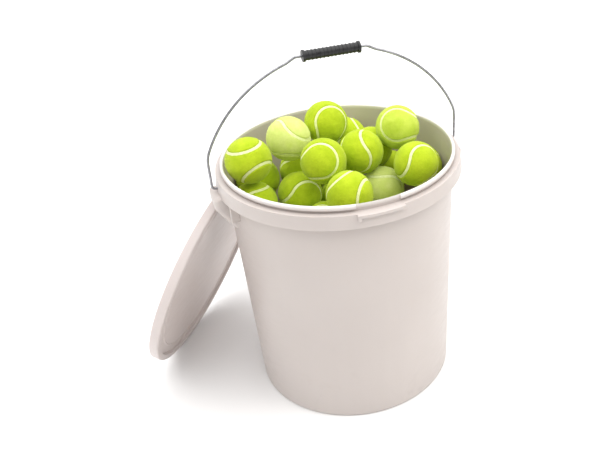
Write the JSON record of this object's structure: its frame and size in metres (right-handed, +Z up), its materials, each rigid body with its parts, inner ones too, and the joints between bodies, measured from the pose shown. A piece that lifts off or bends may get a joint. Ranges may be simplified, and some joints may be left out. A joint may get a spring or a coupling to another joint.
{
  "type": "tennis ball bucket",
  "caption": "Round moulded pail heaped with tennis balls, with a wire bail and a ribbed hand grip, and its lid leaning against the wall.",
  "frame": {"origin": "middle of the pail's flat base, on the floor", "axes": "+Z up; X through the two bail ears; -Y is the front, where the rim has its pry notch"},
  "size_m": [0.5128, 0.4629, 0.5395],
  "materials": {
    "pail_plastic": "satin off-white moulded polyethylene",
    "lid_plastic": "satin off-white moulded polyethylene",
    "zinc_wire": "zinc-plated drawn wire",
    "grip_plastic": "black satin, ribbed",
    "felt": "needled felt, optic yellow",
    "felt_pale": "needled felt, faded optic yellow",
    "ball_rubber": "moulded rubber",
    "seam_rubber": "pale vulcanised seam"
  },
  "bodies": {
    "pail": {"pail": "pail_plastic", "heap_cores": "ball_rubber", "heap_felts": "felt", "heap_seams": "seam_rubber", "packed_cores": "ball_rubber", "packed_felts": "felt"},
    "bail": {"bail_wire": "zinc_wire"},
    "grip": {"hand_grip": "grip_plastic"},
    "lid": {"lid": "lid_plastic"},
    "ball_1": {"ball_1_core": "ball_rubber", "ball_1_felt_a": "felt", "ball_1_felt_b": "felt", "ball_1_seam": "seam_rubber"},
    "ball_2": {"ball_2_core": "ball_rubber", "ball_2_felt_a": "felt_pale", "ball_2_felt_b": "felt_pale", "ball_2_seam": "seam_rubber"},
    "ball_3": {"ball_3_core": "ball_rubber", "ball_3_felt_a": "felt", "ball_3_felt_b": "felt", "ball_3_seam": "seam_rubber"},
    "ball_4": {"ball_4_core": "ball_rubber", "ball_4_felt_a": "felt", "ball_4_felt_b": "felt", "ball_4_seam": "seam_rubber"},
    "ball_5": {"ball_5_core": "ball_rubber", "ball_5_felt_a": "felt", "ball_5_felt_b": "felt", "ball_5_seam": "seam_rubber"},
    "ball_6": {"ball_6_core": "ball_rubber", "ball_6_felt_a": "felt_pale", "ball_6_felt_b": "felt_pale", "ball_6_seam": "seam_rubber"},
    "ball_7": {"ball_7_core": "ball_rubber", "ball_7_felt_a": "felt", "ball_7_felt_b": "felt", "ball_7_seam": "seam_rubber"},
    "ball_8": {"ball_8_core": "ball_rubber", "ball_8_felt_a": "felt", "ball_8_felt_b": "felt", "ball_8_seam": "seam_rubber"}
  },
  "joints": [
    {"name": "bail_swing", "type": "hinge", "parent": "pail", "child": "bail", "pos_m": [0, 0, 0.36], "axis": [1, 0, 0], "range_deg": [-82, 76]},
    {"name": "grip_spin", "type": "hinge", "parent": "bail", "child": "grip", "pos_m": [0, -0.00898, 0.53126], "axis": [1, 0, 0], "continuous": true},
    {"name": "lid_lift", "type": "slide", "parent": "pail", "child": "lid", "axis": [-0.7453, 0.5355, 0.3971], "range_m": [0, 0.3]},
    {"name": "ball_1_lift", "type": "slide", "parent": "pail", "child": "ball_1", "axis": [0, 0, 1], "range_m": [0, 0.08]},
    {"name": "ball_2_lift", "type": "slide", "parent": "pail", "child": "ball_2", "axis": [0, 0, 1], "range_m": [0, 0.08]},
    {"name": "ball_3_lift", "type": "slide", "parent": "pail", "child": "ball_3", "axis": [0, 0, 1], "range_m": [0, 0.04]},
    {"name": "ball_4_lift", "type": "slide", "parent": "pail", "child": "ball_4", "axis": [0, 0, 1], "range_m": [0, 0.08]},
    {"name": "ball_5_lift", "type": "slide", "parent": "pail", "child": "ball_5", "axis": [0, 0, 1], "range_m": [0, 0.08]},
    {"name": "ball_6_lift", "type": "slide", "parent": "pail", "child": "ball_6", "axis": [0, 0, 1], "range_m": [0, 0.08]},
    {"name": "ball_7_lift", "type": "slide", "parent": "pail", "child": "ball_7", "axis": [0, 0, 1], "range_m": [0, 0.08]},
    {"name": "ball_8_lift", "type": "slide", "parent": "pail", "child": "ball_8", "axis": [0, 0, 1], "range_m": [0, 0.08]}
  ]
}
